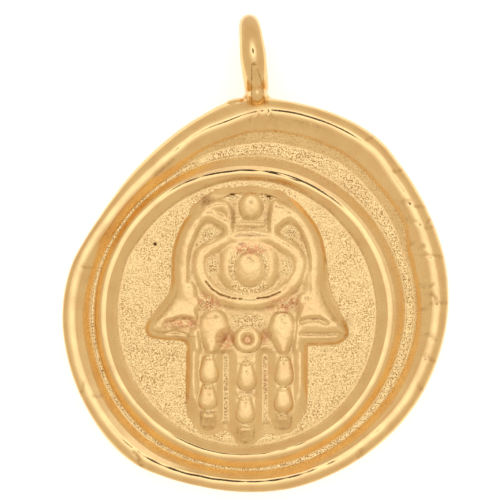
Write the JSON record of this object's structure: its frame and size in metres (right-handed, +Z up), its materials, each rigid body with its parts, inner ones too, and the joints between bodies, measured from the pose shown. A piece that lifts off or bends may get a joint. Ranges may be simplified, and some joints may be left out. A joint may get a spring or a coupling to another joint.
{
  "type": "hamsa pendant",
  "caption": "Cast seal-style medallion with an uneven rim, an inner ring, a raised hamsa hand with an eye, and a soldered wire loop at its top.",
  "frame": {"origin": "centre of the lying pendant's box, on the surface it lies on", "axes": "+Z up out of the pendant's face, +Y towards the loop, +X to the right of the face"},
  "size_m": [0.022, 0.0274, 0.005],
  "materials": {
    "gold_plate": "yellow gold plate over a brass casting: polished crests and slopes, fine-grained field and channel floor, darker and pinkish tarnish in the hollows"
  },
  "bodies": {
    "root": {"pendant": "gold_plate"}
  },
  "joints": []
}
